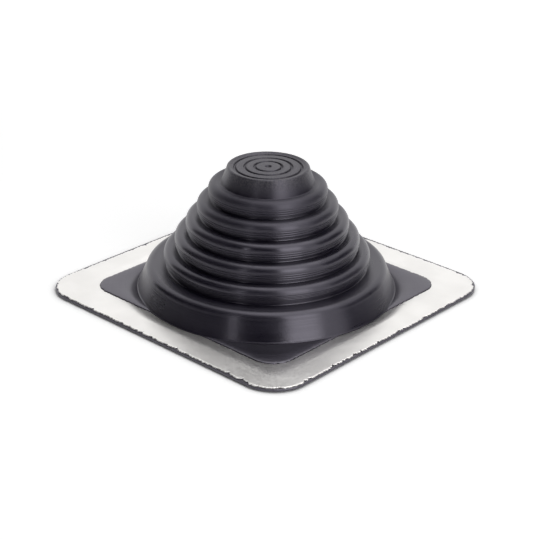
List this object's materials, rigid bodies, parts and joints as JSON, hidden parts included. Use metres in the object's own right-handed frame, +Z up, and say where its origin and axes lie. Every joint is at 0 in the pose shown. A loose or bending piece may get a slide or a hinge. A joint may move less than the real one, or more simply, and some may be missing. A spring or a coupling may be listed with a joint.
{
  "type": "pipe flashing boot",
  "caption": "Stepped rubber cone, closed at the top, moulded to a square soft-aluminium base; cut to a ring, it seals a pipe where it passes through a roof.",
  "frame": {"origin": "centre of the square base, on the plane of the sealing ribs that it rests on", "axes": "+Z up the cone, from the roof towards the closed cap; X and Y along the sides of the square base"},
  "size_m": [0.2032, 0.2032, 0.0846],
  "materials": {
    "rubber": "black moulded EPDM, satin, with a soft sheen on the ring shoulders",
    "aluminium": "soft mill-finish sheet, satin, slightly uneven"
  },
  "bodies": {
    "root": {"rubber_boot": "rubber", "aluminium_flange": "aluminium"}
  },
  "joints": []
}
